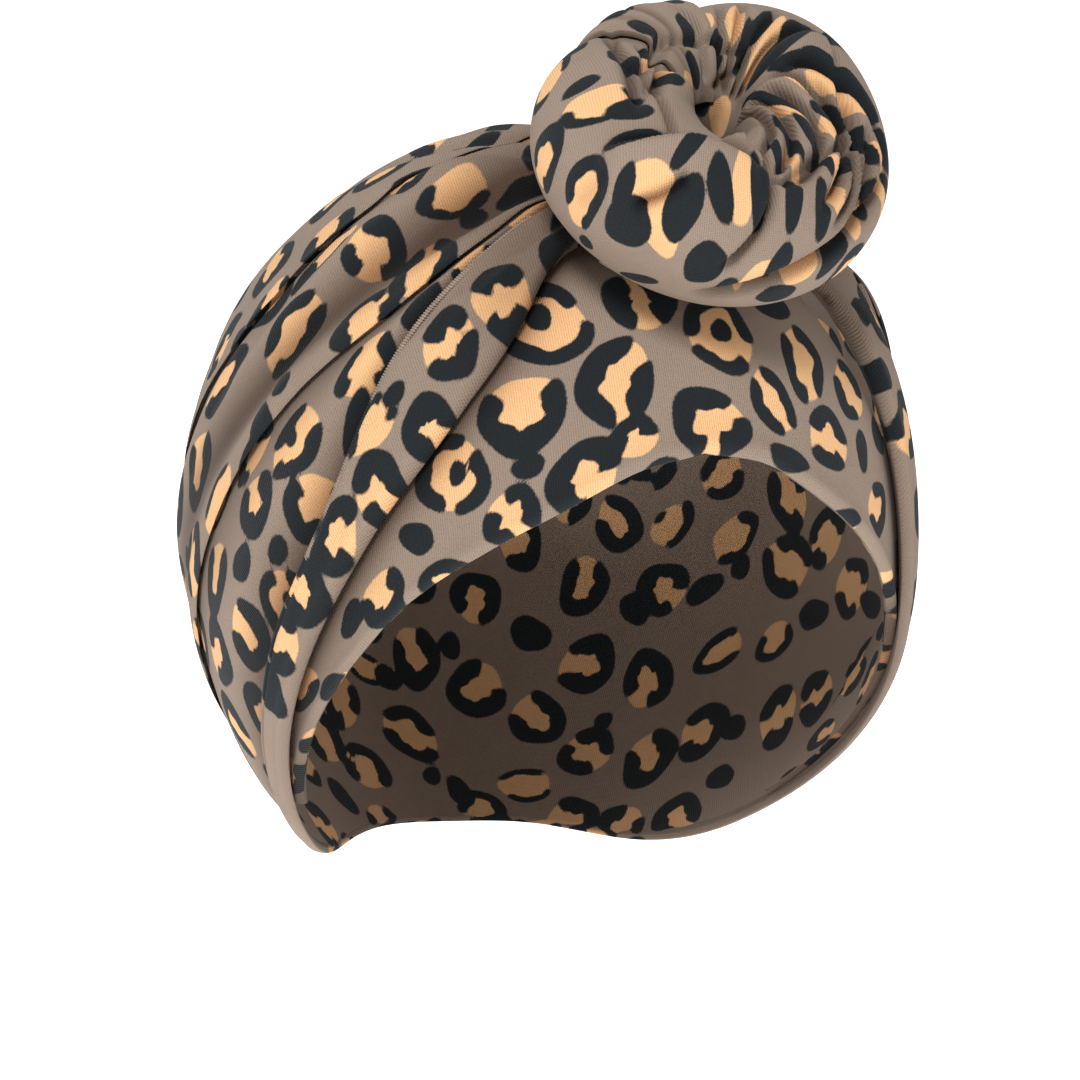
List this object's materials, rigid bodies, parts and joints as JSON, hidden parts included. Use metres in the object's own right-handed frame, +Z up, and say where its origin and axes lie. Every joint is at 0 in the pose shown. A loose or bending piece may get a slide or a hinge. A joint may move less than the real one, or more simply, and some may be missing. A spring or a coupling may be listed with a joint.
{
  "type": "pre-tied wrap headband, as worn",
  "caption": "Stretch head wrap with a smooth brow panel, pleated side wraps drawn into a coiled knot over the forehead, an open crown and a gathered nape.",
  "frame": {"origin": "middle of the wearer's head at its widest level, where the band grips", "axes": "+Z up through the crown, the wearer looks along -Y, +X is the wearer's left"},
  "size_m": [0.1609, 0.1823, 0.2187],
  "materials": {
    "printed_jersey": "matt knitted jersey with a spotted print"
  },
  "bodies": {
    "root": {"brow_panel": "printed_jersey", "wrap_right": "printed_jersey", "wrap_left": "printed_jersey", "nape_band": "printed_jersey", "knot_coil": "printed_jersey", "knot_tail": "printed_jersey"}
  },
  "joints": []
}
